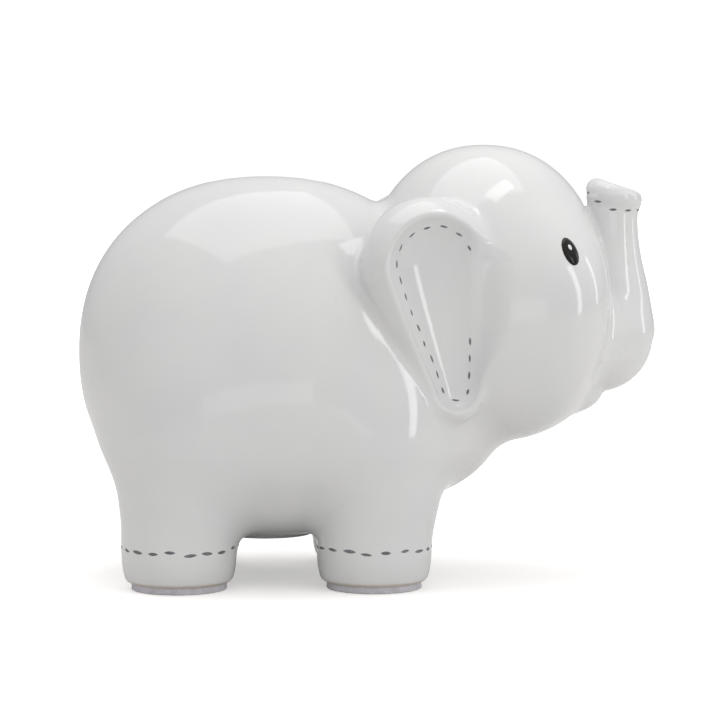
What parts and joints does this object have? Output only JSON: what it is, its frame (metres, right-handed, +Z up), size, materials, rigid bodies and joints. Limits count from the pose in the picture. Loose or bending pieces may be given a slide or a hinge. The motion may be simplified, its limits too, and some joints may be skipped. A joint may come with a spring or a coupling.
{
  "type": "figural animal coin bank",
  "caption": "Hollow glazed ceramic coin bank shaped as a standing elephant with a raised trunk, a coin slot in the back and a pull-out belly stopper.",
  "frame": {"origin": "on the surface the bank stands on, under the middle of its bounding box", "axes": "+X forward to the trunk, +Y to the animal's left, +Z up"},
  "size_m": [0.1956, 0.1124, 0.147],
  "materials": {
    "glaze": "gloss",
    "enamel_grey": "gloss",
    "enamel_black": "gloss",
    "enamel_white": "gloss",
    "stopper_rubber": "matte",
    "pad_felt": "matte"
  },
  "bodies": {
    "bank": {"body_shell": "glaze", "trunk": "glaze", "right_ear": "glaze", "left_ear": "glaze", "rear_right_foot_pad": "pad_felt", "rear_left_foot_pad": "pad_felt", "front_right_foot_pad": "pad_felt", "front_left_foot_pad": "pad_felt", "right_eye": "enamel_black", "left_eye": "enamel_black", "right_eye_glint": "enamel_white", "left_eye_glint": "enamel_white", "right_ear_stitching": "enamel_grey", "left_ear_stitching": "enamel_grey", "trunk_stitching": "enamel_grey", "rear_right_foot_stitching": "enamel_grey", "rear_left_foot_stitching": "enamel_grey", "front_right_foot_stitching": "enamel_grey", "front_left_foot_stitching": "enamel_grey"},
    "stopper": {"stopper": "stopper_rubber"}
  },
  "joints": [
    {"name": "stopper_pull", "type": "slide", "parent": "bank", "child": "stopper", "axis": [0, 0, -1], "range_m": [0, 0.014]}
  ]
}
